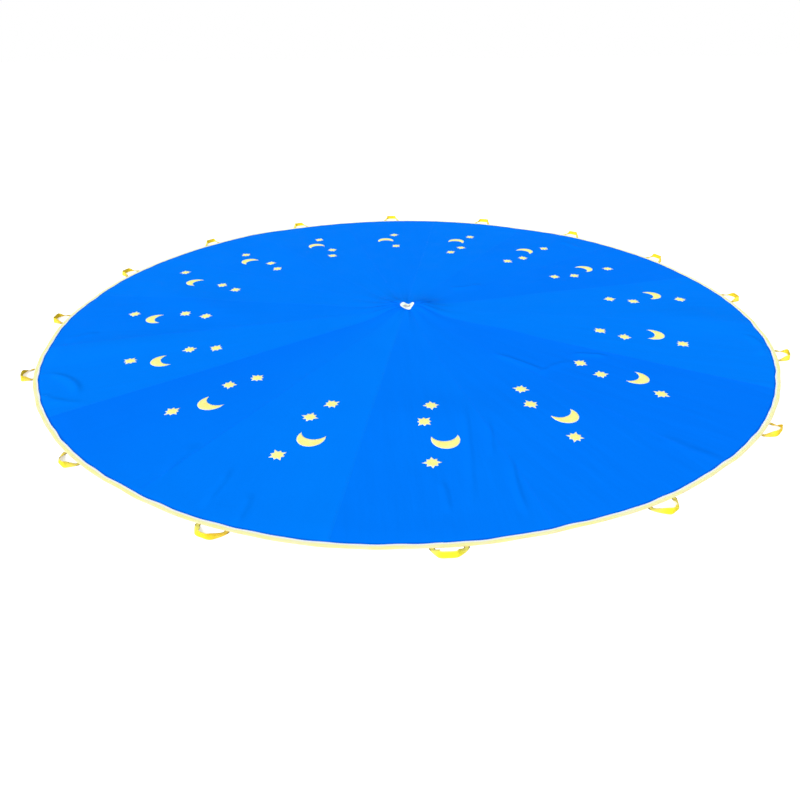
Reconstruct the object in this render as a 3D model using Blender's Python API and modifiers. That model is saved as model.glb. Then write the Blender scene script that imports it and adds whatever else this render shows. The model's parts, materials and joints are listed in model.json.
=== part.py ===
"""A play parachute spread out on the ground, in metres, with +Z up and the origin under its centre.

Sixteen wedge-shaped cloth gores are sewn side by side into one round canopy. A folded tape binds the
outer rim, a smaller one binds the vent in the middle, and sixteen webbing loops stand out from the rim.
Azimuths are counted from the front (-Y), growing towards +X.
"""

import math

import bmesh
import bpy
from mathutils import Vector

# Counts
GORES = 16
COLUMNS_PER_GORE = 6
RIM_STEPS_PER_GORE = 12
FOLD_ARC_STEPS = 2
STEPS_PER_PATH_KEY = 2

# Driving sizes
CANOPY_RADIUS = 1.830
CLOTH_THICKNESS = 0.0010
SEAM_GAP = 0.0003
FIT_GAP = 0.0003

# How far the laid rim strays from its true circle
RIM_DRIFT = 0.020

# Folded binding tape of the rim and of the vent
TAPE_THICKNESS = 0.0008
RIM_BINDING_WIDTH = 0.020
VENT_BINDING_WIDTH = 0.019
VENT_HOLE_RADIUS = 0.019
EDGE_CLEARANCE = 0.0016

# How the cloth lies: it runs flat where a binding holds it, and its raised middle dies away over a spread
CROWN_SPREAD = 0.300
RIM_FLAT_MARGIN = 0.006
VENT_FLAT_MARGIN = 0.004
RIM_SLOPE_LENGTH = 0.060
PUCKER_HEIGHT = 0.004
PUCKER_SPREAD = 0.420

# How the vent lies: a trough runs from front to back between a low left flank and a steep right one,
# the whole ring is drawn in from front to back and pulled to the right, and it stands higher at the back
CROWN_RISE = 0.002
VENT_LEFT_RISE = 0.014
VENT_RIGHT_RISE = 0.024
VENT_BACK_RISE = 0.016
VENT_TROUGH_SHARE = 0.35
VENT_DRAWN_IN_SHARE = 0.45
VENT_SIDE_PULL = 0.011

# Broad soft folds of the laid cloth
FOLD_LENGTH = 0.350
FOLD_WIDTH = 0.130
FOLD_HEIGHT = 0.010

# Webbing hand grips
WEBBING_WIDTH = 0.025
WEBBING_THICKNESS = 0.0014
GRIP_SPAN = 0.097
GRIP_REACH = 0.050
GRIP_END_OVERLAP = 0.0006
GROUND_GAP = 0.0003

# Turn of the whole canopy about its middle, in degrees: the first gore faces the front within this angle
GORE_PHASE_DEG = 4.0

# Radial places of the rows of cloth between the two bindings, as shares of the way out
ROW_SHARES = (0.018, 0.045, 0.09, 0.17, 0.30, 0.45, 0.62, 0.80)

# Each soft fold: its radius as a share of the canopy's, its azimuth in degrees, its length and width as
# shares of the usual ones, its turn in degrees, and its height as a share of the usual one
SOFT_FOLD_SHARES = (
    (0.81, -72.0, 0.85, 0.82, 20.0, 1.1),
    (0.64, -95.0, 1.12, 1.04, -35.0, 0.8),
    (0.34, 78.0, 1.05, 0.88, 62.0, 1.0),
    (0.85, 84.0, 0.80, 0.93, -12.0, 1.0),
    (0.54, 150.0, 1.25, 1.15, 40.0, 0.7),
    (0.61, 12.0, 1.12, 1.10, 5.0, 0.6),
    (0.71, -142.0, 1.20, 1.10, -60.0, 0.7),
)

# How far the rim lies outside its circle at each gore's middle, from the front one round towards +X, as
# shares of the rim's drift, and how fast that dies away inwards, as a power of the radius
RIM_DRIFT_SHARES = (
    0.62, 0.30, 0.20, 0.15, -0.30, -0.45, -0.25, -0.60,
    -0.10, 0.10, 0.60, -0.10, -0.40, 0.20, 0.30, 1.00,
)
RIM_DRIFT_POWER = 4

# How each grip lies, from the front one round towards +X: drift along the rim as a share of a gore's angle,
# lean along the rim as a share of the reach and reach as a share of the usual one, both for its two sides,
# and how far its webbing turns up on edge, as a share of upright
GRIP_DRIFT_SHARES = (
    0.010, 0.028, 0.0, 0.0, 0.010, 0.0, -0.030, -0.030,
    -0.020, -0.010, -0.010, -0.020, 0.0, -0.110, 0.0, -0.012,
)
GRIP_LEAN_SHARES = (
    (0.10, -0.50), (0.50, -0.20), (0.15, 0.30), (0.05, 0.05),
    (-0.20, -0.20), (0.25, 0.25), (0.10, 0.10), (-0.15, -0.15),
    (0.00, 0.00), (0.20, 0.20), (-0.25, -0.25), (0.15, 0.15),
    (0.05, 0.05), (0.20, 0.45), (0.60, -0.10), (0.05, -0.30),
)
GRIP_REACH_SHARES = (
    (0.80, 0.88), (1.30, 0.70), (0.90, 1.00), (1.00, 1.00),
    (1.00, 1.00), (1.08, 1.08), (1.00, 1.00), (1.08, 1.08),
    (1.10, 1.10), (0.95, 0.95), (0.92, 0.92), (1.06, 1.06),
    (1.06, 1.06), (0.85, 1.00), (0.86, 0.94), (0.84, 1.10),
)
GRIP_UPRIGHT_SHARES = (
    1.0, 0.82, 0.80, 1.0, 0.90, 1.0, 0.95, 1.0,
    1.0, 0.90, 1.0, 0.95, 1.0, 0.80, 0.72, 0.60,
)

# One half of a grip's outer edge, from the rim to its middle: place along the rim as a share of half the
# width at the rim, place outwards as a share of the reach, and how far the webbing has turned up on edge,
# 0 flat to 1 upright
GRIP_SIDE_SHARES = (1.0, 0.99, 0.90, 0.75, 0.57, 0.33, 0.0)
GRIP_OUT_SHARES = (0.0, 0.12, 0.38, 0.68, 0.92, 1.0, 1.0)
GRIP_TURN_SHARES = (0.0, 0.0, 0.26, 0.62, 0.92, 1.0, 1.0)
# How wide the webbing is there, as shares of its width: it is gathered where it is sewn to the rim
GRIP_WIDTH_SHARES = (0.70, 0.72, 0.86, 0.97, 1.0, 1.0, 1.0)
# How far the upright webbing tips back towards the rim, as a share of its width
GRIP_TIP_SHARE = 0.14

# Derived sizes
RIM_THICKNESS = 2 * TAPE_THICKNESS + 2 * FIT_GAP + CLOTH_THICKNESS
CLOTH_LEVEL_IN_BINDING = TAPE_THICKNESS + FIT_GAP
RIM_MID_HEIGHT = RIM_THICKNESS / 2
GORE_ANGLE = 2 * math.pi / GORES
VENT_OUTER_RADIUS = VENT_HOLE_RADIUS + VENT_BINDING_WIDTH
CLOTH_OUTER_RADIUS = CANOPY_RADIUS - TAPE_THICKNESS - EDGE_CLEARANCE
CLOTH_INNER_RADIUS = VENT_HOLE_RADIUS + TAPE_THICKNESS + EDGE_CLEARANCE
RIM_FLAT_RADIUS = CANOPY_RADIUS - RIM_BINDING_WIDTH - RIM_FLAT_MARGIN
VENT_FLAT_RADIUS = VENT_OUTER_RADIUS + VENT_FLAT_MARGIN

# Finishes: colour and roughness
CANOPY_BLUE = (0.0008, 0.195, 0.985, 1.0)
CANOPY_ROUGHNESS = 0.55
BINDING_YELLOW = (1.0, 0.93, 0.36, 1.0)
BINDING_ROUGHNESS = 0.70
WEBBING_GOLD = (0.98, 0.68, 0.03, 1.0)
WEBBING_ROUGHNESS = 0.65


def clear_scene():
    for old in list(bpy.data.objects):
        bpy.data.objects.remove(old, do_unlink=True)


def new_collection(name):
    collection = bpy.data.collections.new(name)
    bpy.context.scene.collection.children.link(collection)
    return collection


def new_material(name, color, roughness):
    material = bpy.data.materials.new(name)
    material.use_nodes = True
    shader = material.node_tree.nodes["Principled BSDF"]
    shader.inputs["Base Color"].default_value = color
    shader.inputs["Roughness"].default_value = roughness
    shader.inputs["Metallic"].default_value = 0.0
    material.diffuse_color = color
    return material


def add_object(name, data, material, collection):
    data.materials.append(material)
    obj = bpy.data.objects.new(name, data)
    collection.objects.link(obj)
    return obj


def finish_mesh(name, made, material, collection):
    """Turns a finished bmesh into a smooth shaded object."""
    mesh = bpy.data.meshes.new(name)
    made.to_mesh(mesh)
    made.free()
    mesh.shade_smooth()
    return add_object(name, mesh, material, collection)


def smooth_step(value):
    value = min(max(value, 0.0), 1.0)
    return value * value * (3 - 2 * value)


def polar(radius, azimuth, height):
    """The point at this radius, this azimuth from the front, and this height."""
    return (radius * math.sin(azimuth), -radius * math.cos(azimuth), height)


def gore_azimuth(index):
    return math.radians(GORE_PHASE_DEG) + index * GORE_ANGLE


def rim_drift(azimuth):
    """How far the rim lies outside its circle here, and how steeply that grows along the rim."""
    position = (azimuth - gore_azimuth(0)) / GORE_ANGLE
    before = math.floor(position)
    share = position - before
    here = RIM_DRIFT * RIM_DRIFT_SHARES[before % GORES]
    there = RIM_DRIFT * RIM_DRIFT_SHARES[(before + 1) % GORES]
    slope = 6 * share * (1 - share) * (there - here) / (GORE_ANGLE * CANOPY_RADIUS)
    return here + (there - here) * smooth_step(share), slope


def fold_height(x, y):
    """Height of the broad soft folds at a point of the ground plan."""
    height = 0.0
    for radius_share, azimuth_deg, length_share, width_share, turn_deg, height_share in SOFT_FOLD_SHARES:
        middle_x, middle_y, _ = polar(CANOPY_RADIUS * radius_share, math.radians(azimuth_deg), 0.0)
        turn = math.radians(turn_deg)
        along = (x - middle_x) * math.cos(turn) + (y - middle_y) * math.sin(turn)
        across = (y - middle_y) * math.cos(turn) - (x - middle_x) * math.sin(turn)
        reach = (along / (FOLD_LENGTH * length_share)) ** 2 + (across / (FOLD_WIDTH * width_share)) ** 2
        height += FOLD_HEIGHT * height_share * math.exp(-reach)
    return height


def crown_fade(radius):
    """How much of the vent's own shape is left at this radius: all at the vent, none past the spread."""
    return (1 - smooth_step((radius - VENT_FLAT_RADIUS) / CROWN_SPREAD)) ** 2


def vent_flank_rise(azimuth):
    """How far the vent's two flanks stand up from the trough between them."""
    sideways_share = math.sin(azimuth)
    if sideways_share < VENT_TROUGH_SHARE:
        return VENT_LEFT_RISE * smooth_step((VENT_TROUGH_SHARE - sideways_share) / (VENT_TROUGH_SHARE + 1))
    return VENT_RIGHT_RISE * smooth_step((sideways_share - VENT_TROUGH_SHARE) / (1 - VENT_TROUGH_SHARE))


def crown_height(radius, azimuth):
    """Height of the raised middle, which falls evenly towards its centre inside the vent's edge."""
    inner_share = min(radius / VENT_FLAT_RADIUS, 1)
    backwards_share = (1 - math.cos(azimuth) * inner_share) / 2
    ring = CROWN_RISE + vent_flank_rise(azimuth) * inner_share + VENT_BACK_RISE * backwards_share
    return ring * crown_fade(radius)


def cloth_height(radius, azimuth):
    """Height of the cloth's underside: raised and puckered round the vent, level inside both bindings."""
    from_rim = smooth_step((RIM_FLAT_RADIUS - radius) / RIM_SLOPE_LENGTH)
    from_vent = smooth_step((radius - VENT_FLAT_RADIUS) / VENT_OUTER_RADIUS)
    in_gore = (azimuth - gore_azimuth(0)) / GORE_ANGLE
    wave = (1 + math.cos(2 * math.pi * in_gore)) / 2
    pucker = PUCKER_HEIGHT * max(0.0, 1 - radius / PUCKER_SPREAD) * wave
    x, y, _ = polar(radius, azimuth, 0.0)
    lying = (pucker + fold_height(x, y)) * from_vent * from_rim
    in_binding_share = 1 - from_rim + crown_fade(radius)
    return crown_height(radius, azimuth) + lying + CLOTH_LEVEL_IN_BINDING * in_binding_share


def laid_point(radius, azimuth, height):
    """A point of the laid canopy, with its strayed rim and its drawn in and sideways pulled vent."""
    drift, _ = rim_drift(azimuth)
    strayed = radius + drift * (radius / CANOPY_RADIUS) ** RIM_DRIFT_POWER
    x, y, z = polar(strayed, azimuth, height)
    fade = crown_fade(radius)
    return (x + VENT_SIDE_PULL * fade, y * (1 - VENT_DRAWN_IN_SHARE * fade), z)


def row_radii():
    """Radii of the cloth's rows, from the edge in the vent binding out to the edge in the rim binding."""
    run = RIM_FLAT_RADIUS - RIM_SLOPE_LENGTH - VENT_FLAT_RADIUS
    middle = [VENT_FLAT_RADIUS + share * run for share in ROW_SHARES]
    outer = [RIM_FLAT_RADIUS - RIM_SLOPE_LENGTH, RIM_FLAT_RADIUS, CLOTH_OUTER_RADIUS]
    return [CLOTH_INNER_RADIUS, VENT_FLAT_RADIUS] + middle + outer


def seam_offset_angle(radius):
    """The angle that half the seam gap takes up at this radius, so that the gap stays the same width."""
    return math.asin(SEAM_GAP / 2 / radius)


def make_gore(index, material, collection):
    """One wedge of cloth: a flat grid thickened upwards, and then laid over the cloth's surface."""
    radii = row_radii()
    rows = len(radii) - 1
    sheet = bmesh.new()
    bmesh.ops.create_grid(sheet, x_segments=COLUMNS_PER_GORE, y_segments=rows, size=1.0)
    raised = bmesh.ops.extrude_face_region(sheet, geom=sheet.faces[:])["geom"]
    upper_side = [item for item in raised if isinstance(item, bmesh.types.BMVert)]
    bmesh.ops.translate(sheet, verts=upper_side, vec=(0.0, 0.0, CLOTH_THICKNESS))
    bmesh.ops.recalc_face_normals(sheet, faces=sheet.faces[:])
    for vertex in sheet.verts:
        radius = radii[round((1 - vertex.co.y) / 2 * rows)]
        seam_side = GORE_ANGLE / 2 - seam_offset_angle(radius)
        azimuth = gore_azimuth(index) + min(max(vertex.co.x * GORE_ANGLE / 2, -seam_side), seam_side)
        vertex.co = laid_point(radius, azimuth, cloth_height(radius, azimuth) + vertex.co.z)
    return finish_mesh(f"gore_{index + 1:02d}", sheet, material, collection)


def folded_tape_profile(fold_radius, open_radius):
    """Outline of a tape folded over the cloth's edge, with its fold and its free edges at these radii."""
    outward = 1 if fold_radius > open_radius else -1
    arc_radius = RIM_THICKNESS / 2
    arc_center = fold_radius - outward * arc_radius
    slot_end = fold_radius - outward * TAPE_THICKNESS
    points = [(open_radius, RIM_THICKNESS), (arc_center, RIM_THICKNESS)]
    for step in range(1, 2 * FOLD_ARC_STEPS):
        angle = math.pi / 2 - math.pi * step / (2 * FOLD_ARC_STEPS)
        rise = arc_radius * math.sin(angle)
        points.append((arc_center + outward * arc_radius * math.cos(angle), arc_radius + rise))
    points += [(arc_center, 0.0), (open_radius, 0.0)]
    points += [(open_radius, TAPE_THICKNESS), (slot_end, TAPE_THICKNESS)]
    points += [(slot_end, RIM_THICKNESS - TAPE_THICKNESS), (open_radius, RIM_THICKNESS - TAPE_THICKNESS)]
    return points


def make_binding(name, profile, steps, material, collection):
    """A ring of folded tape: its outline turned once about the vertical axis, then laid with the cloth."""
    ring = bmesh.new()
    corners = [ring.verts.new((0.0, -radius, height)) for radius, height in profile]
    outline = [ring.edges.new((corners[i - 1], corners[i])) for i in range(len(corners))]
    whole_turn = {"axis": (0, 0, 1), "cent": (0, 0, 0), "angle": 2 * math.pi, "use_merge": True}
    bmesh.ops.spin(ring, geom=corners + outline, steps=steps, **whole_turn)
    bmesh.ops.recalc_face_normals(ring, faces=ring.faces[:])
    for vertex in ring.verts:
        x, y, height = vertex.co
        radius = math.hypot(x, y)
        azimuth = math.atan2(x, -y) + gore_azimuth(0)
        vertex.co = laid_point(radius, azimuth, crown_height(radius, azimuth) + height)
    return finish_mesh(name, ring, material, collection)


def grip_hinge_radius(azimuth, slope):
    """Radius of a grip's hinge line, which clears the rim where the webbing's inner edges meet it."""
    inner_edge = (GRIP_SPAN + WEBBING_WIDTH) / 2 - WEBBING_WIDTH * GRIP_WIDTH_SHARES[0]
    half_angle = math.asin(inner_edge / CANOPY_RADIUS)
    end_sweep = math.hypot(WEBBING_THICKNESS / 2, GRIP_END_OVERLAP)
    reaches = []
    for side in (-1, 1):
        drift, _ = rim_drift(azimuth + side * half_angle)
        reaches.append((CANOPY_RADIUS + drift) * math.cos(half_angle) - side * slope * inner_edge)
    return max(reaches) + FIT_GAP + end_sweep


def smooth_through(values, position):
    """A value read from a smooth curve through evenly spaced values, at a position counted in spacings."""
    last = len(values) - 1
    start = min(int(position), last - 1)
    share = position - start
    before, here, there, after = (values[min(max(start + offset, 0), last)] for offset in (-1, 0, 1, 2))
    slope_here = (there - before) / 2
    slope_there = (after - here) / 2
    ease = smooth_step(share)
    bend_here = share * (1 - share) ** 2
    bend_there = share**2 * (share - 1)
    return here + (there - here) * ease + slope_here * bend_here + slope_there * bend_there


def between(pair, share):
    return pair[0] + (pair[1] - pair[0]) * share


def grip_edges(index):
    """Pairs of outer and inner edge points of a grip's webbing, with X along the rim and -Y outwards.

    The webbing leaves the rim lying flat, turns up on its outer edge, runs along the rim and comes back.
    """
    half_width_at_rim = (GRIP_SPAN + WEBBING_WIDTH) / 2
    middle = len(GRIP_SIDE_SHARES) - 1
    side_shares = [-share for share in GRIP_SIDE_SHARES[:-1]] + list(GRIP_SIDE_SHARES[::-1])
    out_shares = GRIP_OUT_SHARES + GRIP_OUT_SHARES[-2::-1]
    turn_shares = GRIP_TURN_SHARES + GRIP_TURN_SHARES[-2::-1]
    width_shares = GRIP_WIDTH_SHARES + GRIP_WIDTH_SHARES[-2::-1]
    last = 2 * middle * STEPS_PER_PATH_KEY
    pairs = []
    for step in range(last + 1):
        position = step / STEPS_PER_PATH_KEY
        across_share = smooth_step(step / last)
        reach = GRIP_REACH * between(GRIP_REACH_SHARES[index], across_share)
        out_share = smooth_through(out_shares, position)
        turn = math.pi / 2 * smooth_through(turn_shares, position) * GRIP_UPRIGHT_SHARES[index]
        lean = between(GRIP_LEAN_SHARES[index], across_share) * reach * out_share**2
        along = half_width_at_rim * smooth_through(side_shares, position) + lean
        out = -GRIP_END_OVERLAP if step in (0, last) else reach * out_share
        height = (GROUND_GAP - RIM_MID_HEIGHT) * math.sin(turn)
        outer = Vector((along, -out, height))
        inward = 1 if position <= middle else -1
        across = Vector((inward * math.cos(turn), GRIP_TIP_SHARE * math.sin(turn), math.sin(turn)))
        width = WEBBING_WIDTH * smooth_through(width_shares, position)
        pairs.append((outer, outer + width * across.normalized()))
    return pairs


def make_grip(index, material, collection):
    """One webbing loop: a ribbon between its two edges, thickened, with its origin on its hinge line."""
    pairs = grip_edges(index)
    ribbon = bmesh.new()
    rails = [[ribbon.verts.new(pair[side]) for pair in pairs] for side in range(2)]
    for step in range(len(pairs) - 1):
        ribbon.faces.new((rails[0][step], rails[1][step], rails[1][step + 1], rails[0][step + 1]))
    grip = finish_mesh(f"handle_{index + 1:02d}", ribbon, material, collection)
    azimuth = gore_azimuth(index) + GRIP_DRIFT_SHARES[index] * GORE_ANGLE
    _, slope = rim_drift(azimuth)
    grip.location = polar(grip_hinge_radius(azimuth, slope), azimuth, RIM_MID_HEIGHT)
    grip.rotation_euler.z = azimuth - math.atan(slope)
    thicken = grip.modifiers.new("webbing", "SOLIDIFY")
    thicken.thickness = WEBBING_THICKNESS
    thicken.offset = 0.0
    return grip


def build():
    clear_scene()
    parts = new_collection("play_parachute")
    cloth = new_material("canopy_cloth", CANOPY_BLUE, CANOPY_ROUGHNESS)
    tape = new_material("binding_tape", BINDING_YELLOW, BINDING_ROUGHNESS)
    webbing = new_material("handle_webbing", WEBBING_GOLD, WEBBING_ROUGHNESS)
    for index in range(GORES):
        make_gore(index, cloth, parts)
        make_grip(index, webbing, parts)
    rim_profile = folded_tape_profile(CANOPY_RADIUS, CANOPY_RADIUS - RIM_BINDING_WIDTH)
    make_binding("rim_binding", rim_profile, GORES * RIM_STEPS_PER_GORE, tape, parts)
    vent_profile = folded_tape_profile(VENT_HOLE_RADIUS, VENT_OUTER_RADIUS)
    make_binding("vent_binding", vent_profile, GORES * COLUMNS_PER_GORE, tape, parts)


build()
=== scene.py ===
"""Looks of a play parachute: gored cloth, folded tapes, webbing grips, prints and stitching."""
import json
import math
from collections import Counter

import bmesh
import bpy
import numpy as np
from mathutils import Matrix, Vector, geometry, noise
from mathutils.bvhtree import BVHTree


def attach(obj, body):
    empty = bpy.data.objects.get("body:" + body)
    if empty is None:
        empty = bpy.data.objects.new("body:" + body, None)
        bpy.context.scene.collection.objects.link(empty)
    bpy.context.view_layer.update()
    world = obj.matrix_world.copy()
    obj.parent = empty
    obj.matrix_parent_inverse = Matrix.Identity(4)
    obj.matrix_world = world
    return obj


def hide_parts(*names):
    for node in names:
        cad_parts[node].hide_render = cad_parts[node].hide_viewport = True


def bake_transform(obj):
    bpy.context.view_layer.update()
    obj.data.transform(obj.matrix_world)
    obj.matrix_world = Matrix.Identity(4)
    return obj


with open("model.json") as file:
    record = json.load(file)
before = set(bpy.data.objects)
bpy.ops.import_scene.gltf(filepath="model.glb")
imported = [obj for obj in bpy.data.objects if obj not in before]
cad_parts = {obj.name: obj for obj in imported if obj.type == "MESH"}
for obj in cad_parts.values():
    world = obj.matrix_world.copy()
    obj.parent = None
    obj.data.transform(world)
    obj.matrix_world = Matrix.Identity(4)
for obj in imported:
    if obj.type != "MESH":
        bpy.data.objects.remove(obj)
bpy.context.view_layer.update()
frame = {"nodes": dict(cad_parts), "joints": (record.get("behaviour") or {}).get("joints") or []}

# Camera of the photograph, in metres and degrees
CAMERA_PLACE = (0.012, -3.211, 1.335)
CAMERA_YAW_DEG = -0.80
CAMERA_PITCH_DEG = 30.87
CAMERA_ROLL_DEG = -0.54
CAMERA_LENS = 28.11
CAMERA_SENSOR = 36.0

# Stage and light
FLOOR_SIZE = 60.0
FLOOR_DROP = 0.0004
FLOOR_WHITE = (0.92, 0.92, 0.92, 1.0)
WHITE = (1.0, 1.0, 1.0, 1.0)
FLOOR_GLOW = 0.47
WORLD_STRENGTH = 0.38
SUN_STRENGTH = 2.95
SUN_SPREAD_DEG = 45.0
SUN_TILT_DEG = 50.0
SUN_AZIMUTH_DEG = -28.0

# How the cloth lies, as in the solids that it replaces
GORE_PHASE_DEG = 4.0
CANOPY_RADIUS = 1.830
RIM_BINDING_WIDTH = 0.020
VENT_BINDING_WIDTH = 0.019
RIM_DRIFT = 0.020
# How far the rim strays outwards at each gore's middle
RIM_DRIFT_SHARES = (
    0.62, 0.30, 0.20, 0.15, -0.30, -0.45, -0.25, -0.60,
    -0.10, 0.10, 0.60, -0.10, -0.40, 0.20, 0.30, 1.00,
)
RIM_DRIFT_POWER = 4
CLOTH_EDGE_INSET = 0.0024
RIM_FLAT_MARGIN = 0.006
VENT_FLAT_MARGIN = 0.004
CROWN_SPREAD = 0.300
RIM_SLOPE_LENGTH = 0.060
PUCKER_HEIGHT = 0.004
PUCKER_SPREAD = 0.420
CROWN_RISE = 0.002
VENT_LEFT_RISE = 0.014
VENT_RIGHT_RISE = 0.024
VENT_BACK_RISE = 0.016
VENT_TROUGH_SHARE = 0.35
VENT_TROUGH_TURN = 0.18
VENT_CORNER_RISE = 0.007
VENT_CORNER_AZIMUTH_DEG = -150
VENT_CORNER_SPREAD_DEG = 26
VENT_DRAWN_IN_SHARE = 0.45
VENT_SIDE_PULL = 0.011
FOLD_LENGTH = 0.350
FOLD_WIDTH = 0.130
FOLD_HEIGHT = 0.010
CLOTH_LIFT = 0.0011
# Each soft fold: radius share, azimuth in degrees, length and width shares, turn in degrees, height share
SOFT_FOLD_SHARES = (
    (0.81, -72, 0.85, 0.82, 20, 1.1),
    (0.64, -95, 1.12, 1.04, -35, 0.8),
    (0.34, 78, 1.05, 0.88, 62, 1.0),
    (0.85, 84, 0.80, 0.93, -12, 1.0),
    (0.54, 150, 1.25, 1.15, 40, 0.7),
    (0.61, 12, 1.12, 1.10, 5, 0.6),
    (0.71, -142, 1.20, 1.10, -60, 0.7),
)

# Fine form of the cloth
RIM_WAVER = 0.0011
RIM_WAVES = (23, 41, 67)
RIM_WAVER_POWER = 12
# How far the rim strays further outwards at each seam, from the one after the front gore on
RIM_SEAM_DRIFT_SHARES = (
    -0.28, -0.20, -0.15, -0.05, -0.35, 0.0, -0.80, 0.10,
    -0.10, 1.10, -0.10, -0.45, -0.35, -0.15, -0.20, 0.30,
)
CLOTH_THICKNESS = 0.00025
SEAM_HALF_WIDTH = 0.0050
SEAM_HALF_WIDTH_SHARE = 0.30
SEAM_RISE = 0.00032
SEAM_TUCK_RISE = 0.0001
SEAM_EASE = 0.0150
SEAM_END_EASE = 0.012
SEAM_PUCKER_HEIGHT = 0.0006
SEAM_PUCKER_REACH = 0.035
SEAM_PUCKER_LENGTH = 0.085
RIM_PUCKER_HEIGHT = 0.0019
RIM_PUCKER_REACH = 0.070
RIM_PUCKERS = 192
GATHER_HEIGHT = 0.0016
GATHER_FULL_RADIUS = 0.120
GATHER_REACH = 0.330
GATHERS = 47
SWELL_HEIGHT = 0.0024
SWELL_LENGTH = 0.42
SWELL_SEED = 0.0
RUMPLE_HEIGHT = 0.0007
RUMPLE_LENGTH = 0.11
RUMPLE_SEED = 5.0
STRENGTH_LENGTH = SWELL_LENGTH / 2
STRENGTH_SEED = 3.0
DRIFT_TURN = 5
DRIFT_SEED = 7.0
# Each crease: its two ends in the ground plan, its bow to the left of the way between them, width and height
CREASES = (
    ((-1.640, -0.735), (-1.378, -0.950), 0.050, 0.016, 0.0052),
    ((-1.560, -0.925), (-1.310, -1.000), -0.020, 0.016, 0.0030),
    ((-1.700, -0.420), (-1.560, -0.300), 0.020, 0.018, 0.0035),
    ((0.400, -0.550), (0.640, -0.745), 0.010, 0.014, 0.0045),
    ((0.590, -0.770), (0.780, -0.625), 0.015, 0.014, 0.0045),
    ((0.780, -0.560), (0.960, -0.585), 0.004, 0.012, 0.0060),
    ((0.250, 0.300), (0.470, 0.385), -0.020, 0.018, 0.0055),
    ((1.690, -0.330), (1.640, -0.600), 0.050, 0.016, 0.0062),
    ((0.240, -1.000), (0.215, -1.690), 0.012, 0.011, 0.0028),
    ((0.385, -1.360), (0.392, -1.700), -0.008, 0.010, 0.0038),
    ((-0.605, -1.420), (-0.655, -1.650), 0.008, 0.010, 0.0036),
    ((-0.505, -1.560), (-0.525, -1.740), 0.006, 0.010, 0.0032),
    ((-0.760, -1.280), (-0.840, -1.500), -0.010, 0.013, 0.0032),
    ((1.250, 1.020), (1.120, 1.260), 0.015, 0.018, 0.0040),
    ((0.325, -1.120), (0.312, -1.400), 0.008, 0.010, 0.0026),
    ((0.125, -1.500), (0.142, -1.690), 0.006, 0.010, 0.0030),
    ((0.960, -1.225), (1.135, -1.410), -0.015, 0.026, 0.0024),
)
CREASE_END_SHARE = 0.30
CREASE_SOFT_SIDE_SHARE = 1.7
ROW_STEP_SHARE = 0.085
ROW_STEP_LEAST = 0.0030
ROW_STEP_MOST = 0.0185
ROW_STEP_AT_RIM = 0.0080
RIM_ROWS_REACH = 0.050
INNER_COLUMNS = 24
SEAM_COLUMN_REACH = 0.026
CREASE_FINE_REACH = 0.030
# Painted sheen: how light each gore's cloth is painted at its two seams, standing in for the light that its
# weave catches
GORE_SHEEN_SHARES = (
    (0.20, 0.30), (0.25, -0.15), (-0.15, -0.35), (0.95, 0.95),
    (0.90, 0.90), (0.05, 0.05), (0.29, 0.29), (0.65, 0.65),
    (0.45, 0.45), (0.62, 0.62), (0.61, 0.61), (0.75, 0.75),
    (0.40, 0.40), (1.00, 1.00), (-0.35, 0.30), (0.60, 0.95),
)
# Fine wrinkles that run to the vent: how close they lie across the gore and along it
STREAK_SCALE = (16.0, 2.0, 1.0)
# Painted shade on the cloth at the sides of the vent
VENT_SHADE = 0.40
# Each dark pucker line beside the vent, painted as shade in the cloth's colour only: its two ends in the
# ground plan, its bow, width and shade
VENT_PUCKER_SHADES = (
    ((-0.102, 0.081), (-0.041, 0.001), 0.0, 0.008, 0.75),
    ((0.160, 0.080), (0.045, -0.036), 0.0, 0.008, 0.70),
    ((-0.180, 0.026), (-0.095, -0.028), 0.0, 0.008, 0.40),
)

# Binding tapes
TAPE_THICKNESS = 0.0007
TAPE_EASE = 0.0001
TAPE_FOLD_THICKNESS = 0.0026
TAPE_HEM = 0.0012
TAPE_WAVER = 0.0008
TAPE_WAVES = 61
TAPE_WAVES_RATIO = 1.618
TAPE_EDGE_SHARE = 1 / 3
FOLD_ARC_STEPS = 6
RIM_STEPS_PER_GORE = 60
VENT_STEPS_PER_GORE = 12

# Webbing grips, as in the solids that they replace
WEBBING_WIDTH = 0.025
WEBBING_THICKNESS = 0.0014
WEBBING_ROUNDING = 0.0004
WEBBING_ROUNDING_STEPS = 2
GRIP_SPAN = 0.097
GRIP_REACH = 0.050
GRIP_END_OVERLAP = 0.0006
GROUND_GAP = 0.0003
# Each grip's lean along the rim and its reach outwards, at its two sides, and how upright it stands
GRIP_LEAN_SHARES = (
    (0.10, -0.50), (0.50, -0.20), (0.15, 0.30), (0.05, 0.05),
    (-0.20, -0.20), (0.25, 0.25), (0.10, 0.10), (-0.15, -0.15),
    (0.00, 0.00), (0.20, 0.20), (-0.25, -0.25), (0.15, 0.15),
    (0.05, 0.05), (0.20, 0.45), (0.60, -0.10), (0.05, -0.30),
)
GRIP_REACH_SHARES = (
    (0.80, 0.88), (1.30, 0.70), (0.90, 1.00), (1.00, 1.00),
    (1.00, 1.00), (1.08, 1.08), (1.00, 1.00), (1.08, 1.08),
    (1.10, 1.10), (0.95, 0.95), (0.92, 0.92), (1.06, 1.06),
    (1.06, 1.06), (0.85, 1.00), (0.86, 0.94), (0.84, 1.10),
)
GRIP_UPRIGHT_SHARES = (
    1.0, 0.82, 0.80, 1.0, 0.90, 1.0, 0.95, 1.0,
    1.0, 0.90, 1.0, 0.95, 1.0, 0.80, 0.72, 0.60,
)
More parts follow.
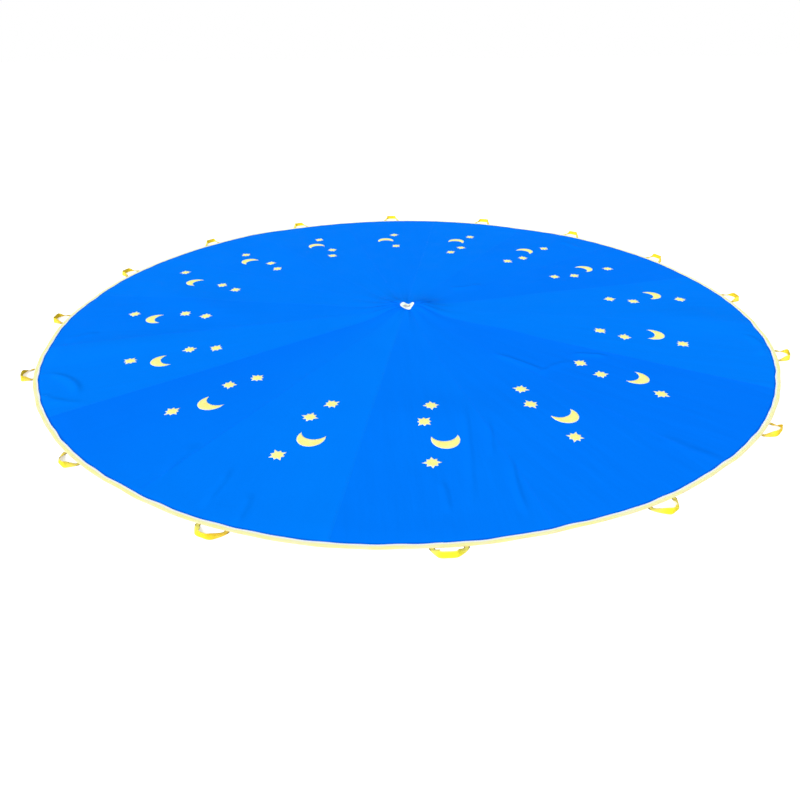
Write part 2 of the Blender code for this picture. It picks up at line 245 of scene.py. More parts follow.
# Painted shade: how far each grip's webbing is painted gold on its two sides, where it lies in shade
GRIP_PAINTED_SHADE_SHARES = (
    (0.0, 0.0), (0.1, 0.35), (0.7, 0.9), (0.45, 0.45),
    (0.7, 0.7), (0.6, 0.6), (0.5, 0.5), (0.5, 0.5),
    (0.5, 0.5), (0.5, 0.5), (0.5, 0.5), (0.6, 0.6),
    (0.7, 0.7), (0.8, 0.5), (0.55, 0.3), (0.0, 1.0),
)
# One arm of a grip from its sewn end to its middle: place along the rim and outwards, turn and width
GRIP_SIDE_SHARES = (1.0, 0.99, 0.90, 0.75, 0.57, 0.33, 0.0)
GRIP_OUT_SHARES = (0.0, 0.12, 0.38, 0.68, 0.92, 1.0, 1.0)
GRIP_TURN_SHARES = (0.0, 0.0, 0.26, 0.62, 0.92, 1.0, 1.0)
GRIP_WIDTH_SHARES = (0.70, 0.72, 0.86, 0.97, 1.0, 1.0, 1.0)
GRIP_TIP_SHARE = 0.14
GRIP_STEPS_PER_KEY = 6
WEBBING_COLUMNS = 8

# Prints: the crescent and the stars stand on a gore at a share of the radius and a turn from its middle
MOON_PLACE = (0.7272, 2.70)
STAR_PLACES = ((0.791, -0.25), (0.641, -0.40), (0.575, 1.80))
BLUE_RADIUS_SHARE = 0.989
# Each gore's prints: their shift outwards and round, and how fast the outer ones stray further out and round
PRINT_SHIFTS = (
    (-0.010, 0.30, 0, 0), (-0.014, 1.10, 0, 0), (-0.003, 0.60, 0, 0),
    (-0.003, 0.50, 0, 0), (0.071, 1.00, 0, 0), (0.009, 0.60, 0, 0),
    (0.010, -0.50, 0, 0), (0.010, -0.45, 0, 0), (0.002, -0.35, 0, 0),
    (0.016, -0.65, 0, 0), (0.018, -0.40, 0, 0), (0.009, -0.45, 0.34, -33),
    (0.023, -1.40, 0.02, -2.5), (-0.003, -0.90, 0, 0), (-0.012, -0.90, 0.044, 2.8),
    (0.004, 0.0, 0, 0),
)
PRINT_STRAY_START = 0.65
PRINT_AIM_DROP = 0.003
MOON_OUTER_RADII = (0.0550, 0.0590)
MOON_OUTER_SHIFT = -0.029
MOON_OUTER_TURN_DEG = 112
MOON_INNER_RADII = (0.0540, 0.0555)
MOON_INNER_SHIFT = 0.0145
MOON_INNER_TURN_DEG = 69
MOON_STEPS = 30
STAR_RADIUS = 0.034
STAR_WAIST_SHARE = 0.60
STAR_POINTS = 8
STAR_REACH_SHARES = (1.02, 0.86, 1.08, 0.84, 1.0, 0.90, 1.10, 0.82)
STARS_ON_BACK_GORE = 2
PRINT_SPACING = 0.006
PRINT_WELD = 1e-6
PRINT_LIFT = 0.00025
PRINT_THICKNESS = 0.00015

# Sewing thread
STITCH_LENGTH = 0.0036
STITCH_PITCH = 0.0050
STITCH_WIDTH = 0.0007
STITCH_HEIGHT = 0.0002
STITCH_SINK = 0.0001
SEAM_ROW_SHARE = 0.60
TAPE_ROW_INSET = 0.0032

# Finishes
CLOTH_BLUE = (0.0003, 0.203, 0.99, 1.0)
# The cloth's painted sheen and its random uneven tone run between the light and the dark blue
CLOTH_BLUE_LIGHT = (0.0003, 0.214, 1.0, 1.0)
CLOTH_BLUE_DARK = (0.0003, 0.172, 0.985, 1.0)
# Painted shade on the cloth beside the rim tape and at the vent
CLOTH_BLUE_PAINTED_SHADE = (0.0008, 0.085, 0.62, 1.0)
SHEEN_BLUE = (0.0, 0.25, 1.0, 1.0)
TAPE_YELLOW = (1.0, 0.99, 0.42, 1.0)
TAPE_CREAM = (1.0, 0.97, 0.72, 1.0)
# painted highlight along the tape's open edge
TAPE_HIGHLIGHT_WHITE = (0.93, 1.0, 0.98, 1.0)
# tan along the tape's fold: partly wear, partly painted shade of the fold's underside
TAPE_TAN = (0.86, 0.58, 0.34, 1.0)
# The vent's pale yellow tape painted near white, as painted light standing in for the glare of the lamp on it
VENT_TAPE_LIT_PALE = (0.80, 0.99, 0.86, 1.0)
WEBBING_YELLOW = (1.0, 0.97, 0.030, 1.0)
# paler webbing, at the edges and as painted light on the arms
WEBBING_PALE = (1.0, 0.97, 0.24, 1.0)
# painted shade: the webbing's gold where it lies in shade and between its threads
WEBBING_SHADE_GOLD = (1.0, 0.60, 0.020, 1.0)
# painted shadow at the corners of each grip's sewn ends
WEBBING_SHADOW_BROWN = (0.20, 0.12, 0.012, 1.0)
PRINT_YELLOW = (1.0, 0.97, 0.27, 1.0)
PRINT_PALE = (0.98, 0.98, 0.55, 1.0)
PRINT_WARM = (1.0, 0.84, 0.24, 1.0)
PRINT_EDGE = (0.88, 1.0, 0.90, 1.0)
THREAD_CREAM = (0.90, 0.86, 0.60, 1.0)
THREAD_BLUE = (0.0006, 0.205, 1.0, 1.0)
CLOTH_SHEEN = 0.02
CLOTH_UNEVEN_NOISE = (2.5, 3.0)
CLOTH_UNEVEN_SHARE = 0.36
THREAD_TWIST_SCALE = 400.0
# Patches: the noise's scale and detail, the noise between which a share goes from its first value to its last
CLOTH_ROUGHNESS = (7.0, 2.0, 0.3, 0.7, 0.50, 0.64)
# patches of the tan along the fold, wear and painted shade
TAPE_SHADE_AND_WEAR_PATCHES = (18.0, 3.0, 0.35, 0.65, 0.15, 1.0)
TAPE_CREAM_PATCHES = (14.0, 3.0, 0.35, 0.7, 0.0, 0.55)
TAPE_ROUGHNESS = (60.0, 2.0, 0.3, 0.7, 0.66, 0.84)
# patches of the grips' painted shade
WEBBING_SHADE_PATCHES = (45.0, 3.0, 0.3, 0.7, 0.5, 1.0)
WEBBING_ROUGHNESS = (80.0, 2.0, 0.3, 0.7, 0.55, 0.75)
PRINT_PALE_PATCHES = (60.0, 4.0, 0.35, 0.75, 0.0, 0.5)
PRINT_WARM_PATCHES = (35.0, 2.0, 0.50, 0.75, 0.0, 0.5)
PRINT_ROUGHNESS = (90.0, 2.0, 0.3, 0.7, 0.50, 0.70)
# Bands: the measure between which a share goes from its first value to its last
# painted shade on the cloth beside the rim tape
RIM_SHADE_BAND = (0.0020, 0.0100, 0.55, 0.0)
# tan along the fold: partly wear, partly painted shade of its underside
TAPE_SHADE_AND_WEAR_BAND = (0.78, 0.92, 0.0, 0.45)
# painted highlight line along the tape's open edge
TAPE_HIGHLIGHT_BAND = (0.18, 0.46, 1.0, 0.0)
WEBBING_PALE_EDGES = (0.30, 0.50, 0.0, 0.7)
# painted light on the grips' arms
WEBBING_PAINTED_LIGHT_ENDS = (0.08, 0.34, 0.85, 0.0)
# painted shade in the gaps between the webbing's threads
WEBBING_THREAD_GAP_SHADE = (0.0, 0.5, 0.20, 0.0)
# painted shadow at the corners of each grip's sewn ends
WEBBING_SHADOW_ENDS = (0.03, 0.10, 0.95, 0.0)
WEBBING_SHADOW_EDGES = (0.22, 0.45, 0.15, 1.0)
PRINT_EDGE_BAND = (0.0, 0.0055, 0.95, 0.0)
# Grain: the noise's scale and detail, and the height and strength of its bumps
CLOTH_WRINKLES = (22.0, 4.0, 0.0008, 0.5)
CLOTH_STREAKS = (1.0, 4.0, 0.0030, 1.0)
TAPE_GRAIN = (120.0, 2.0, 0.0002, 0.5)
PRINT_WRINKLES = (22.0, 4.0, 0.0008, 0.4)
THREAD_GRAIN = (1500.0, 2.0, 0.0001, 0.6)
# Woven threads: their pitch, and the height and strength of their bumps
CLOTH_WEAVE = (0.00045, 0.00006, 0.4)
PRINT_WEAVE = (0.00045, 0.00006, 0.5)
WEBBING_WEAVE = (0.0012, 0.0004, 0.8)
TAPE_RIBS = (0.0011, 0.00022, 0.8)


def smooth_step(value):
    """Eases from 0 to 1 with the value, also for arrays."""
    value = np.clip(value, 0.0, 1.0)
    return value * value * (3 - 2 * value)


def mesh_points(mesh):
    """The points of a mesh, one row for each."""
    points = np.zeros(len(mesh.vertices) * 3)
    mesh.vertices.foreach_get("co", points)
    return points.reshape(-1, 3)


UP = Vector((0.0, 0.0, 1.0))
ABOVE_ALL = 1.0
GORE_NAMES = sorted(name for name in frame["nodes"] if name.startswith("gore_"))
HANDLE_NAMES = sorted(name for name in frame["nodes"] if name.startswith("handle_"))
GORES = len(GORE_NAMES)
GORE_ANGLE = 2 * math.pi / GORES
RIM_INNER_RADIUS = CANOPY_RADIUS - RIM_BINDING_WIDTH
VENT_OUTER_RADIUS = float(np.ptp(mesh_points(frame["nodes"]["vent_binding"].data)[:, 0])) / 2
VENT_HOLE_RADIUS = VENT_OUTER_RADIUS - VENT_BINDING_WIDTH
CLOTH_OUTER_RADIUS = CANOPY_RADIUS - CLOTH_EDGE_INSET
CLOTH_INNER_RADIUS = VENT_HOLE_RADIUS + CLOTH_EDGE_INSET
RIM_FLAT_RADIUS = RIM_INNER_RADIUS - RIM_FLAT_MARGIN
VENT_FLAT_RADIUS = VENT_OUTER_RADIUS + VENT_FLAT_MARGIN
GRIP_JOINTS = {joint["child"]: joint for joint in frame["joints"] if joint["type"] == "hinge"}


def gore_azimuth(index):
    """The direction of a gore's middle, counted from the front towards +X."""
    return math.radians(GORE_PHASE_DEG) + index * GORE_ANGLE


def gore_position(azimuth):
    """How far round a direction lies, counted in gores from the middle of the front one."""
    return (azimuth - gore_azimuth(0)) / GORE_ANGLE


def plan_point(radius, azimuth):
    """The place in the ground plan at a radius and an azimuth from the front."""
    return radius * np.sin(azimuth), -radius * np.cos(azimuth)


def rim_drift(azimuth):
    """How far the rim lies outside its circle."""
    position = gore_position(azimuth)
    before = np.floor(position).astype(int)
    shares = np.array(RIM_DRIFT_SHARES)
    here = shares[before % GORES]
    there = shares[(before + 1) % GORES]
    return RIM_DRIFT * (here + (there - here) * smooth_step(position - before))


def rim_waver(azimuth):
    """How the rim lies between the grips, with its small uneven waves, which end at the grips."""
    position = gore_position(azimuth)
    shares = np.array(RIM_SEAM_DRIFT_SHARES)[np.floor(position).astype(int) % GORES]
    waves = RIM_WAVER * sum(np.sin(count * azimuth + count) for count in RIM_WAVES)
    return (RIM_DRIFT * shares + waves) * (1 - np.cos(2 * math.pi * position)) / 2


def fold_height(x, y):
    """Height of the broad soft folds."""
    height = 0.0
    for radius_share, azimuth_deg, length_share, width_share, turn_deg, height_share in SOFT_FOLD_SHARES:
        middle_x, middle_y = plan_point(CANOPY_RADIUS * radius_share, math.radians(azimuth_deg))
        turn = math.radians(turn_deg)
        along = (x - middle_x) * math.cos(turn) + (y - middle_y) * math.sin(turn)
        across = (y - middle_y) * math.cos(turn) - (x - middle_x) * math.sin(turn)
        reach = (along / (FOLD_LENGTH * length_share)) ** 2 + (across / (FOLD_WIDTH * width_share)) ** 2
        height = height + FOLD_HEIGHT * height_share * np.exp(-reach)
    return height


def crown_fade(radius):
    """How much of the vent's own shape is left at this radius."""
    return (1 - smooth_step((radius - VENT_FLAT_RADIUS) / CROWN_SPREAD)) ** 2


def crown_height(radius, azimuth):
    """Height of the raised and folded middle above the ground."""
    sideways = np.sin(azimuth)
    trough = VENT_TROUGH_SHARE - VENT_TROUGH_TURN * (1 - np.cos(azimuth)) / 2
    left = VENT_LEFT_RISE * smooth_step((trough - sideways) / (trough + 1))
    right = VENT_RIGHT_RISE * smooth_step((sideways - trough) / (1 - trough))
    from_corner = np.arccos(np.cos(azimuth - math.radians(VENT_CORNER_AZIMUTH_DEG)))
    left = left + VENT_CORNER_RISE * np.exp(-((from_corner / math.radians(VENT_CORNER_SPREAD_DEG)) ** 2))
    inner_share = np.minimum(radius / VENT_FLAT_RADIUS, 1)
    backwards_share = (1 - np.cos(azimuth) * inner_share) / 2
    ring = CROWN_RISE + (left + right) * inner_share + VENT_BACK_RISE * backwards_share
    return ring * crown_fade(radius)


def crease_distance(x, y, crease):
    """How far along a crease, 0 to 1, and how far beside it each point lies."""
    start, end, bow, _, _ = crease
    run = np.subtract(end, start)
    length = math.hypot(*run)
    way_x, way_y = run / length
    share = ((x - start[0]) * way_x + (y - start[1]) * way_y) / length
    beside = (y - start[1]) * way_x - (x - start[0]) * way_y
    return share, beside - bow * 4 * np.clip(share, 0, 1) * (1 - np.clip(share, 0, 1))


def faded_ends(share):
    """Fades a crease at both of its ends."""
    return smooth_step(share / CREASE_END_SHARE) * smooth_step((1 - share) / CREASE_END_SHARE)


def crease_height(x, y):
    """Height of the small creases, steeper on their left side."""
    height = 0.0
    for crease in CREASES:
        share, beside = crease_distance(x, y, crease)
        width, rise = crease[3:]
        reach = np.where(beside > 0, beside, beside / CREASE_SOFT_SIDE_SHARE) / width
        height = height + rise * faded_ends(share) * np.exp(-(reach**2))
    return height


def vent_shade(radius, azimuth):
    """How deep the shade lies between the gathers at the sides of the vent."""
    x, y = plan_point(radius, azimuth)
    shade = VENT_SHADE * crown_fade(radius) * np.abs(np.sin(azimuth))
    for pucker in VENT_PUCKER_SHADES:
        share, beside = crease_distance(x, y, pucker)
        width, depth = pucker[3:]
        shade = np.maximum(shade, depth * faded_ends(share) * np.exp(-((beside / width) ** 2)))
    return shade


def noise_field(x, y, length, seed):
    """Smooth noise from 0 to 1 over the ground plan."""
    places = zip(np.ravel(x) / length, np.ravel(y) / length)
    values = [noise.noise(Vector((px, py, seed))) for px, py in places]
    return np.clip(np.reshape(values, np.shape(x)) + 0.5, 0, 1)


def pucker_height(x, y, radius, azimuth):
    """Height of the gathers at the vent, the puckers along the rim and those along the seams."""
    strength = noise_field(x, y, STRENGTH_LENGTH, STRENGTH_SEED)
    drift = DRIFT_TURN * noise_field(x, y, SWELL_LENGTH, DRIFT_SEED)
    near_vent = np.minimum(radius / GATHER_FULL_RADIUS, 1) * np.clip(1 - radius / GATHER_REACH, 0, 1) ** 2
    gathers = GATHER_HEIGHT * near_vent * (1 + np.cos(GATHERS * azimuth + drift)) / 2
    near_rim = np.exp(-(((RIM_INNER_RADIUS - radius) / RIM_PUCKER_REACH) ** 2))
    rim = RIM_PUCKER_HEIGHT * near_rim * strength * (1 + np.cos(RIM_PUCKERS * azimuth + 2 * drift)) / 2
    in_gore = gore_position(azimuth) + 0.5
    from_seam = radius * np.sin(GORE_ANGLE * np.abs(in_gore - np.round(in_gore)))
    near_seam = np.exp(-((from_seam / SEAM_PUCKER_REACH) ** 2))
    wave = (1 + np.cos(2 * math.pi * radius / SEAM_PUCKER_LENGTH + drift + 2 * np.round(in_gore))) / 2
    return gathers + rim + SEAM_PUCKER_HEIGHT * near_seam * strength * wave


def cloth_height(radius, azimuth):
    """Height of the cloth's underside, level inside both bindings."""
    x, y = plan_point(radius, azimuth)
    from_rim = smooth_step((RIM_FLAT_RADIUS - radius) / RIM_SLOPE_LENGTH)
    from_vent = smooth_step((radius - VENT_FLAT_RADIUS) / VENT_OUTER_RADIUS)
    near_middle = np.maximum(0.0, 1 - radius / PUCKER_SPREAD)
    bulge = PUCKER_HEIGHT * near_middle * (1 + np.cos(2 * math.pi * gore_position(azimuth))) / 2
    swell = SWELL_HEIGHT * noise_field(x, y, SWELL_LENGTH, SWELL_SEED)
    rumple = RUMPLE_HEIGHT * noise_field(x, y, RUMPLE_LENGTH, RUMPLE_SEED)
    past_tape = smooth_step((RIM_INNER_RADIUS - radius) / SEAM_END_EASE)
    fine = pucker_height(x, y, radius, azimuth) + crease_height(x, y)
    lying = (bulge + fold_height(x, y) + swell + rumple) * from_vent * from_rim + fine * from_vent * past_tape
    in_binding_share = 1 - from_rim + crown_fade(radius)
    return crown_height(radius, azimuth) + lying + CLOTH_LIFT * in_binding_share


def lay(radius, azimuth, height):
    """Points of the laid canopy, with its strayed rim and its drawn in and sideways pulled vent."""
    outwards = radius / CANOPY_RADIUS
    drift = rim_drift(azimuth) * outwards**RIM_DRIFT_POWER
    waver = rim_waver(azimuth) * outwards**RIM_WAVER_POWER
    x, y = plan_point(radius + drift + waver, azimuth)
    fade = crown_fade(radius)
    pulled_x = x + VENT_SIDE_PULL * fade
    drawn_in_y = y * (1 - VENT_DRAWN_IN_SHARE * fade)
    return np.stack([pulled_x, drawn_in_y, height + 0 * radius], axis=-1)


def seam_share(radius):
    """How much of the overlap between gores there is: none under the bindings."""
    from_rim = smooth_step((RIM_INNER_RADIUS - radius) / SEAM_END_EASE)
    from_vent = smooth_step((radius - VENT_OUTER_RADIUS) / SEAM_END_EASE)
    return from_rim * from_vent


def seam_half_width(radius):
    """Half the width of the overlap between two gores, narrower where the gores are narrow."""
    narrow = SEAM_HALF_WIDTH_SHARE * radius * GORE_ANGLE / 2
    return np.minimum(SEAM_HALF_WIDTH, narrow) * seam_share(radius) + TAPE_EASE


def row_radii():
    """Radii of the cloth's rows: close together at the vent and at the rim."""
    radii = [CLOTH_INNER_RADIUS]
    while radii[-1] < CLOTH_OUTER_RADIUS:
        step = min(max(ROW_STEP_SHARE * radii[-1], ROW_STEP_LEAST), ROW_STEP_MOST)
        if radii[-1] > RIM_INNER_RADIUS - RIM_ROWS_REACH:
            step = ROW_STEP_AT_RIM
        radii.append(radii[-1] + step)
    return np.array(radii) * CLOTH_OUTER_RADIUS / radii[-1]


def column_azimuths(radius):
    """Azimuths of the cloth's columns from the gore's middle: close together along its two seams."""
    half = GORE_ANGLE / 2
    overlap = float(seam_half_width(radius))
    scale = min(1.0, radius * half / (2 * SEAM_COLUMN_REACH))
    beside = overlap + scale * np.array((SEAM_EASE / 2, SEAM_EASE, SEAM_COLUMN_REACH))
    edges = np.concatenate([(-overlap, 0.0, overlap), beside])
    angles = half - np.arcsin(edges / radius)
    inner = np.linspace(-angles[-1], angles[-1], INNER_COLUMNS + 1)[1:-1]
    return np.concatenate([-angles, inner, angles[::-1]])


def mesh_object(name, points, faces, smooth=True):
    """A mesh object from points and faces."""
    mesh = bpy.data.meshes.new(name)
    mesh.from_pydata([tuple(point) for point in points], [], [tuple(face) for face in faces])
    mesh.update()
    if smooth:
        mesh.shade_smooth()
    obj = bpy.data.objects.new(name, mesh)
    bpy.context.scene.collection.objects.link(obj)
    return obj


def sharpen_border(mesh):
    """Keeps the smooth shading of a sheet from bending round its cut edges."""
    uses = Counter(key for face in mesh.polygons for key in face.edge_keys)
    for edge in mesh.edges:
        edge.use_edge_sharp = uses[edge.key] == 1


def corner_points(mesh):
    """The number of the point at each corner of a mesh's faces."""
    corners = np.zeros(len(mesh.loops), dtype=int)
    mesh.loops.foreach_get("vertex_index", corners)
    return corners


def set_weave(mesh, warp, weft):
    """Lays the weave over a mesh: its place in metres at each face corner."""
    layer = mesh.uv_layers.new(name="weave")
    layer.uv.foreach_set("vector", np.stack([warp, weft], axis=-1).astype(np.float32).ravel())


def set_plan_weave(mesh, turn):
    """Lays the weave over a mesh as seen from above, turned with the piece."""
    x, y = mesh_points(mesh)[corner_points(mesh), :2].T
    warp = x * math.cos(turn) + y * math.sin(turn)
    weft = y * math.cos(turn) - x * math.sin(turn)
    set_weave(mesh, warp, weft)


def thicken(obj, thickness, offset):
    """Gives a surface its thickness, above it at offset 1 and to both sides at offset 0."""
    modifier = obj.modifiers.new("thickness", "SOLIDIFY")
    modifier.thickness = thickness
    modifier.offset = offset


def drop_on(surface, x, y):
    """The place on a surface straight under a point of the plan, or none."""
    return surface.ray_cast(Vector((x, y, ABOVE_ALL)), -UP)[0]


def set_value(obj, name, values):
    """Keeps one number for each point of a mesh, for its material."""
    attribute = obj.data.attributes.new(name, "FLOAT", "POINT")
    count = len(obj.data.vertices)
    attribute.data.foreach_set("value", np.broadcast_to(np.asarray(values, np.float32), (count,)).copy())


def grid_faces(rows, columns):
    """Faces of a grid of points that is listed row by row."""
    corners = [(row * columns + column) for row in range(rows - 1) for column in range(columns - 1)]
    return [(c, c + 1, c + columns + 1, c + columns) for c in corners]


def near_crease(x, y, reach):
    """Which points of the plan lie close to a crease."""
    found = np.zeros(len(x), dtype=bool)
    for crease in CREASES:
        share, beside = crease_distance(x, y, crease)
        found |= (share > 0) & (share < 1) & (np.abs(beside) < reach + crease[3])
    return found


def refine_creases(mesh):
    """Splits the flat cloth's faces along each crease, twice."""
    flat = bmesh.new()
    flat.from_mesh(mesh)
    for reach in (CREASE_FINE_REACH, CREASE_FINE_REACH / 2):
        edges = flat.edges[:]
        middles = np.array([(edge.verts[0].co + edge.verts[1].co) / 2 for edge in edges])
        near = near_crease(middles[:, 0], middles[:, 1], reach)
        chosen = [edge for edge, wanted in zip(edges, near) if wanted]
        if chosen:
            bmesh.ops.subdivide_edges(flat, edges=chosen, cuts=1, use_grid_fill=True, use_single_edge=True)
    bmesh.ops.triangulate(flat, faces=[face for face in flat.faces if len(face.verts) > 4])
    flat.to_mesh(mesh)
    flat.free()


def gore_surface(index):
    """One wedge of cloth as a single surface, laid, with its seam lap raised over the next gore."""
    radii = row_radii()
    radius = np.repeat(radii, len(column_azimuths(radii[0])))
    azimuth = gore_azimuth(index) + np.concatenate([column_azimuths(float(row)) for row in radii])
    x, y = plan_point(radius, azimuth)
    faces = grid_faces(len(radii), len(radius) // len(radii))
    cloth = mesh_object(f"gore_cloth_{index + 1:02d}", np.stack([x, y, 0 * x], axis=-1), faces)
    refine_creases(cloth.data)
    x, y, _ = mesh_points(cloth.data).T
    radius = np.hypot(x, y)
    azimuth = np.arctan2(x, -y)
    turn = (azimuth - gore_azimuth(index) + math.pi) % (2 * math.pi) - math.pi
    from_seam = radius * np.sin(GORE_ANGLE / 2 - turn)
    overlap = seam_half_width(radius)
    raised = smooth_step((overlap + SEAM_EASE - from_seam) / SEAM_EASE)
    tucked = 1 - smooth_step((overlap + from_seam) / overlap)
    lap = seam_share(radius) * (SEAM_RISE * raised + (SEAM_TUCK_RISE - SEAM_RISE) * tucked)
    height = cloth_height(radius, azimuth) + lap
    set_plan_weave(cloth.data, gore_azimuth(index))
    cloth.data.vertices.foreach_set("co", lay(radius, azimuth, height).ravel())
    cloth.data.update()
    sharpen_border(cloth.data)
    return cloth, radius, turn


def blend_gore(piece):
    """Bakes the placing of a piece on a gore into its points."""
    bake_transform(piece)


def make_gore(index, material):
    """One gore of cloth, replacing its solid. Gives its surface, for what lies on it."""
    cloth, radius, turn = gore_surface(index)
    from_left = np.clip(turn / GORE_ANGLE + 0.5, 0, 1)
    # painted sheen of the gore, from one seam to the other
    set_value(cloth, "gore_painted_sheen", between(GORE_SHEEN_SHARES[index], from_left))
    set_value(cloth, "rim_distance", RIM_INNER_RADIUS - radius)
    set_value(cloth, "vent_shade", vent_shade(radius, gore_azimuth(index) + turn))
    cloth.data.materials.append(material)
    points = [vertex.co for vertex in cloth.data.vertices]
    surface = BVHTree.FromPolygons(points, [face.vertices for face in cloth.data.polygons])
    thicken(cloth, CLOTH_THICKNESS, 1.0)
    blend_gore(cloth)
    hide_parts(GORE_NAMES[index])
    return surface


def tape_way(fold_radius, open_radius):
    """1 where a tape's fold is its outer side, and -1 where it is its inner side."""
    return 1 if fold_radius > open_radius else -1


def tape_profile(fold_radius, open_radius):
    """Outline of a soft tape folded over the cloth's edge, round at its fold and flat at its edges."""
    outward = tape_way(fold_radius, open_radius)
    arc = TAPE_FOLD_THICKNESS / 2
    centre = fold_radius - outward * arc
    cloth_top = CLOTH_LIFT + CLOTH_THICKNESS + TAPE_EASE
    edge_top = cloth_top + TAPE_THICKNESS
    near_fold = open_radius + outward * abs(fold_radius - open_radius) / 2
    edge = TAPE_THICKNESS * TAPE_EDGE_SHARE
    points = [(open_radius, edge_top - edge), (open_radius + outward * edge, edge_top)]
    points.append((open_radius + outward * TAPE_HEM, edge_top))
    points += [(near_fold, (edge_top + TAPE_FOLD_THICKNESS) / 2), (centre, TAPE_FOLD_THICKNESS)]
    for step in range(1, FOLD_ARC_STEPS):
        angle = math.pi / 2 - math.pi * step / FOLD_ARC_STEPS
        points.append((centre + outward * arc * math.cos(angle), arc + arc * math.sin(angle)))
    points += [(centre, 0.0), (near_fold, 0.0), (open_radius + outward * edge, 0.0), (open_radius, edge)]
    points += [(open_radius, TAPE_THICKNESS), (centre, TAPE_THICKNESS)]
    points += [(centre + outward * TAPE_THICKNESS, CLOTH_LIFT), (centre, cloth_top), (open_radius, cloth_top)]
    return points


def make_tape(name, node, body, fold_radius, open_radius, steps, material):
    """A ring of folded tape laid with the cloth, its free edges wavering a little."""
    profile = np.array(tape_profile(fold_radius, open_radius))
    outward = tape_way(fold_radius, open_radius)
    turns = np.arange(steps) * 2 * math.pi / steps
    radius = np.tile(profile[:, 0], steps)
    height = np.tile(profile[:, 1], steps)
    azimuth = gore_azimuth(0) + np.repeat(turns, len(profile))
    from_fold = np.abs(fold_radius - radius) / abs(fold_radius - open_radius)
    waves = np.sin(TAPE_WAVES * azimuth) + np.sin(TAPE_WAVES * TAPE_WAVES_RATIO * azimuth + 1)
    waver = TAPE_WAVER * min(1, steps / (GORES * RIM_STEPS_PER_GORE))
    moved = radius + outward * from_fold**2 * waver * waves
    points = lay(moved, azimuth, crown_height(radius, azimuth) + height)
    size = len(profile)
    faces = []
    for step in range(steps):
        here = step * size
        there = (step + 1) % steps * size
        for i in range(size):
            j = (i + 1) % size
            faces.append((here + i, here + j, there + j, there + i))
    tape = mesh_object(name, points, faces)
    made = bmesh.new()
    made.from_mesh(tape.data)
    bmesh.ops.recalc_face_normals(made, faces=made.faces[:])
    made.to_mesh(tape.data)
    made.free()
    set_value(tape, "fold_share", 1 - from_fold)
    corners = corner_points(tape.data)
    face_ends = np.repeat(corners.reshape(-1, 4).max(axis=1), 4)
    wraps = (corners < size) & (face_ends >= size * (steps - 1))
    along = (azimuth[corners] + wraps * 2 * math.pi) * open_radius
    set_weave(tape.data, along, radius[corners] + height[corners])
    tape.data.materials.append(material)
    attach(tape, body)
    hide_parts(node)


def smooth_through(values, position):
    """A value read from a smooth curve through evenly spaced values, at a position counted in spacings."""
    last = len(values) - 1
    start = min(int(position), last - 1)
    share = position - start
    before, here, there, after = (values[min(max(start + offset, 0), last)] for offset in (-1, 0, 1, 2))
    ease = share * share * (3 - 2 * share)
    bend_here = share * (1 - share) ** 2
    bend_there = share**2 * (share - 1)
    return here + (there - here) * ease + (there - before) / 2 * bend_here + (after - here) / 2 * bend_there


def between(pair, share):
    """A value between two others."""
    return pair[0] + (pair[1] - pair[0]) * share


def grip_edges(index, rim_middle):
    """Pairs of outer and inner edge points of a grip's webbing, with X along the rim and -Y outwards."""
    half_width_at_rim = (GRIP_SPAN + WEBBING_WIDTH) / 2
    middle = len(GRIP_SIDE_SHARES) - 1
    side_shares = [-share for share in GRIP_SIDE_SHARES[:-1]] + list(GRIP_SIDE_SHARES[::-1])
    both_arms = [shares + shares[-2::-1] for shares in (GRIP_OUT_SHARES, GRIP_TURN_SHARES, GRIP_WIDTH_SHARES)]
    last = 2 * middle * GRIP_STEPS_PER_KEY
    pairs = []
    for step in range(last + 1):
        position = step / GRIP_STEPS_PER_KEY
        across_share = float(smooth_step(step / last))
        reach = GRIP_REACH * between(GRIP_REACH_SHARES[index], across_share)
        out_share, turn_share, width_share = (smooth_through(shares, position) for shares in both_arms)
        turn = math.pi / 2 * turn_share * GRIP_UPRIGHT_SHARES[index]
        lean = between(GRIP_LEAN_SHARES[index], across_share) * reach * out_share**2
        along = half_width_at_rim * smooth_through(side_shares, position) + lean
        out = -GRIP_END_OVERLAP if step in (0, last) else reach * out_share
        outer = Vector((along, -out, (GROUND_GAP - rim_middle) * math.sin(turn)))
        inward = 1 if position <= middle else -1
        across = Vector((inward * math.cos(turn), GRIP_TIP_SHARE * math.sin(turn), math.sin(turn)))
        pairs.append((outer, outer + WEBBING_WIDTH * width_share * across.normalized()))
    return pairs


